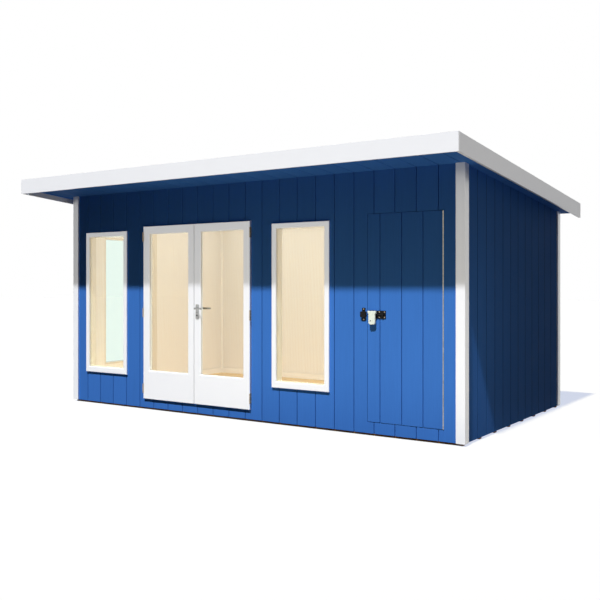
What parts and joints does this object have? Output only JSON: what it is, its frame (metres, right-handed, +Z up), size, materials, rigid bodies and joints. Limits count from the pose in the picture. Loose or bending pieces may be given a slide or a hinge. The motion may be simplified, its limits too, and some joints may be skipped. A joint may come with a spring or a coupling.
{
  "type": "garden office pod",
  "caption": "Mono-pitch timber garden office with boarded walls, glazed double doors, tall fixed windows, a flush store door and a deep front roof overhang.",
  "frame": {"origin": "middle of the roof's plan, on the ground under the floor joists", "axes": "+X to the right along the front, +Y from the front wall to the back wall, +Z up; the doors face -Y"},
  "size_m": [5.022, 3.254, 2.4298],
  "materials": {
    "blue_boards": "satin painted boards",
    "white_timber": "satin painted timber",
    "pine_lining": "clear sealed pine boards",
    "floor_boards": "oiled pine boards",
    "raw_timber": "sawn softwood",
    "roof_panel": "timber roof panel",
    "roof_membrane": "matt sheet membrane",
    "clear_glass": "clear, slightly green",
    "brass_hinges": "satin brass",
    "satin_steel": "satin",
    "black_iron": "black painted",
    "pale_enamel": "pale enamel"
  },
  "bodies": {
    "pod": {"floor_joists": "raw_timber", "floor_deck": "floor_boards", "front_wall_left": "pine_lining", "front_wall_over_doors": "pine_lining", "front_wall_centre": "pine_lining", "front_wall_over_store_door": "pine_lining", "front_wall_right": "pine_lining", "left_end_wall": "pine_lining", "right_end_wall": "pine_lining", "back_wall": "pine_lining", "front_cladding": "blue_boards", "left_cladding": "blue_boards", "right_cladding": "blue_boards", "back_cladding": "blue_boards", "front_corner_trims": "white_timber", "back_corner_trims": "white_timber", "roof_panel": "roof_panel", "roof_membrane": "roof_membrane", "soffit": "blue_boards", "ceiling_lining": "pine_lining", "front_fascia": "white_timber", "rear_fascia": "white_timber", "bargeboards": "white_timber", "left_window_frame": "white_timber", "right_window_frame": "white_timber", "end_window_frame": "white_timber", "window_glass": "clear_glass", "door_frame": "pine_lining", "store_door_frame": "pine_lining", "door_frame_hinges": "brass_hinges", "store_frame_hinge": "brass_hinges", "lock_keep": "black_iron"},
    "left_leaf": {"left_door": "white_timber", "left_door_glass": "clear_glass", "left_door_hinges": "brass_hinges"},
    "right_leaf": {"right_door": "white_timber", "right_door_glass": "clear_glass", "right_door_hinges": "brass_hinges", "handle_plates": "satin_steel"},
    "lever": {"lever_handle": "satin_steel"},
    "store_leaf": {"store_door_boards": "blue_boards", "store_door_ledges": "raw_timber", "store_door_hinge": "brass_hinges", "pad_bolt": "black_iron", "padlock": "pale_enamel"}
  },
  "joints": [
    {"name": "left_door_swing", "type": "hinge", "parent": "pod", "child": "left_leaf", "pos_m": [-1.236, -1.082, 1.01], "axis": [0, 0, -1], "range_deg": [0, 110]},
    {"name": "right_door_swing", "type": "hinge", "parent": "pod", "child": "right_leaf", "pos_m": [0.166, -1.082, 1.01], "axis": [0, 0, 1], "range_deg": [0, 110]},
    {"name": "lever_turn", "type": "hinge", "parent": "right_leaf", "child": "lever", "pos_m": [-0.491, -1.055, 1.065], "axis": [0, 1, 0], "range_deg": [0, 40], "stiffness_Nm_per_rad": 1.2, "springref_deg": -28.65},
    {"name": "store_door_swing", "type": "hinge", "parent": "pod", "child": "store_leaf", "pos_m": [2.137, -1.061, 1.014], "axis": [0, 0, 1], "range_deg": [0, 110]}
  ]
}
